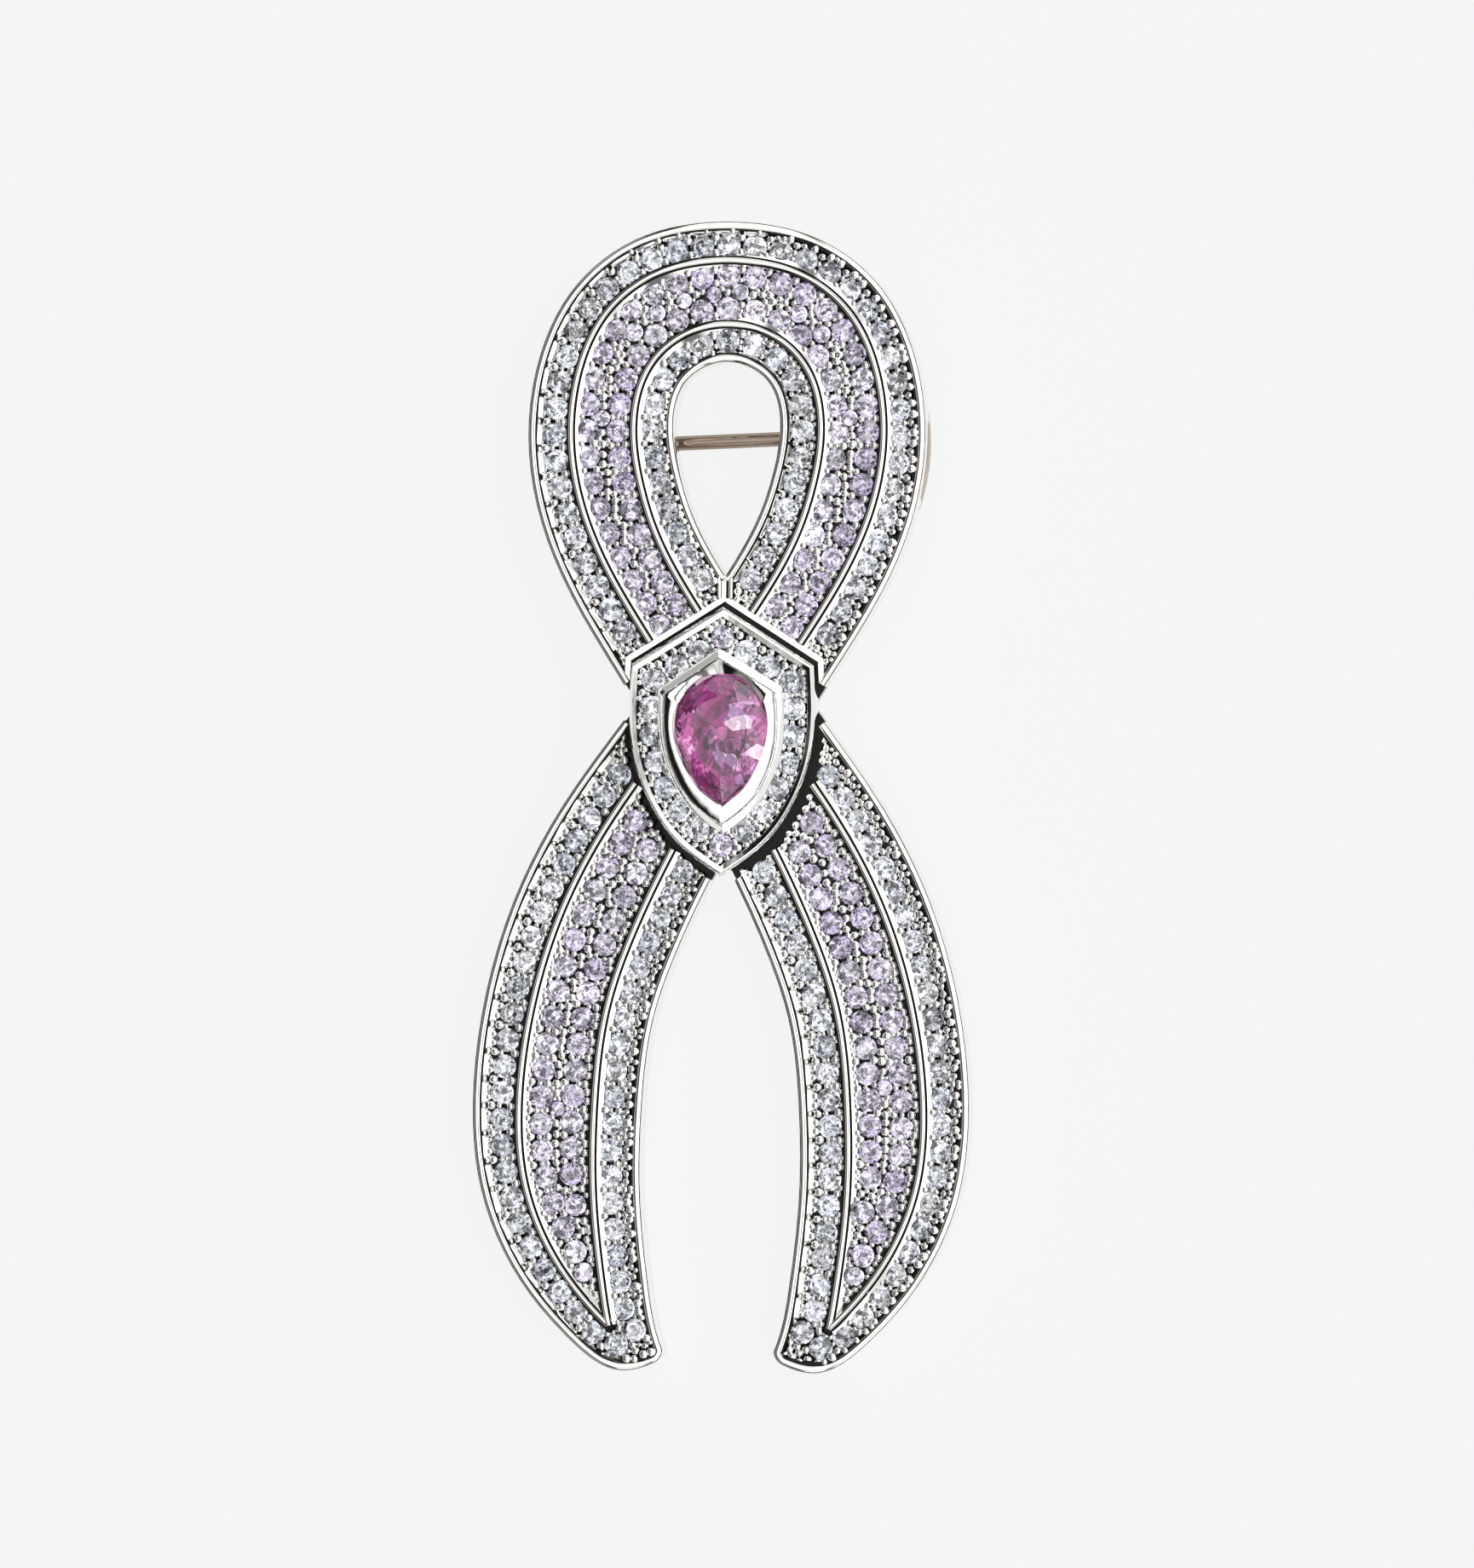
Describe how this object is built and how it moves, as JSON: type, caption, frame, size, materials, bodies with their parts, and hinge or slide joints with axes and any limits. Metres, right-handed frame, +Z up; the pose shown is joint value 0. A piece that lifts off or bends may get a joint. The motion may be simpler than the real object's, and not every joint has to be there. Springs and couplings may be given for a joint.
{
  "type": "ribbon brooch",
  "caption": "White-gold brooch shaped as a tied ribbon, with rows of small pale and lilac stones, a raised shield with a pear-cut pink stone, and a hinged pin on its back.",
  "frame": {"origin": "bottom centre of the box that holds the brooch as it lies on its back", "axes": "+Y from the tail tips towards the loop, +Z up from the surface it lies on, +X to the wearer's left when the face is seen with the loop up"},
  "size_m": [0.0254, 0.0584, 0.0061],
  "materials": {
    "white_gold": "polished",
    "pink_stone": "polished",
    "pale_stones": "polished",
    "lilac_stones": "polished"
  },
  "bodies": {
    "brooch": {"ribbon_body": "white_gold", "shield_setting": "white_gold", "hinge_rivet": "white_gold", "pear_stone": "pink_stone", "shield_stones": "pale_stones", "loop_outer_stones": "pale_stones", "loop_inner_stones": "pale_stones", "loop_centre_stones": "lilac_stones", "left_tail_outer_stones": "pale_stones", "left_tail_inner_stones": "pale_stones", "right_tail_outer_stones": "pale_stones", "right_tail_inner_stones": "pale_stones"},
    "pin": {"pin_stem": "white_gold"}
  },
  "joints": [
    {"name": "pin_hinge", "type": "hinge", "parent": "brooch", "child": "pin", "pos_m": [-0.00769, 0.01796, 0.00078], "axis": [-0.048, 0.9974, 0.0536], "range_deg": [0, 75]}
  ]
}
